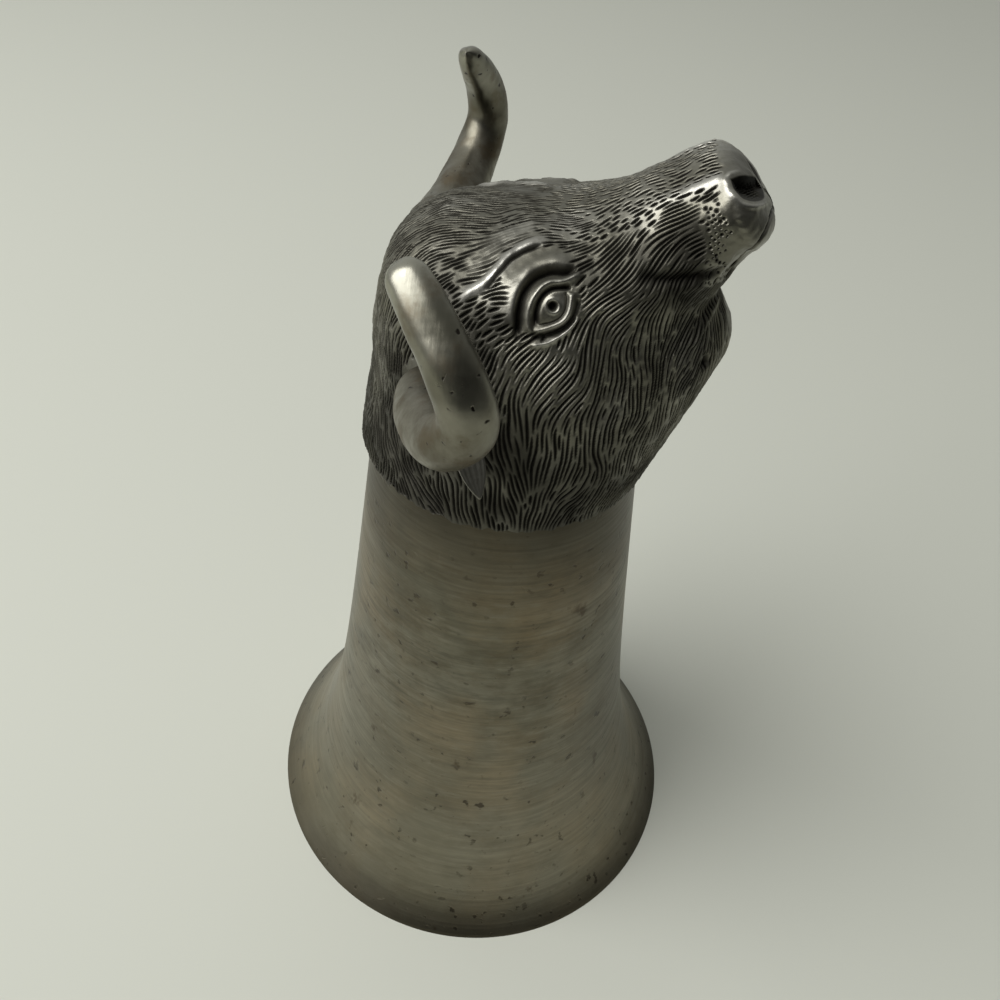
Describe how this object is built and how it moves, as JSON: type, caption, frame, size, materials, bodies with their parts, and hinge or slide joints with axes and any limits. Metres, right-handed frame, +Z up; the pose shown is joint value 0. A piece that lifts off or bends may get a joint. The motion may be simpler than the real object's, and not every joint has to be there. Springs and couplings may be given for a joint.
{
  "type": "stirrup cup",
  "caption": "Flared pewter stirrup cup that stands on its wide rim, its closed end covered by a cast bull's head with curved horns, small ears and engraved fur.",
  "frame": {"origin": "centre of the drinking rim, in the plane of the rim on the table", "axes": "+Z up along the cup's axis from the rim to the head, +X the way the bull faces, +Y the bull's left"},
  "size_m": [0.064, 0.064, 0.1104],
  "materials": {
    "spun_pewter": "spun pewter, dull grey-brown with fine turning lines and patina",
    "cast_pewter": "cast pewter, polished ridges with blackened grooves",
    "horn_pewter": "cast pewter, smooth and worn bright"
  },
  "bodies": {
    "root": {"cup_bowl": "spun_pewter", "head_casting": "cast_pewter", "right_horn": "horn_pewter", "left_horn": "horn_pewter", "right_ear": "cast_pewter", "left_ear": "cast_pewter"}
  },
  "joints": []
}
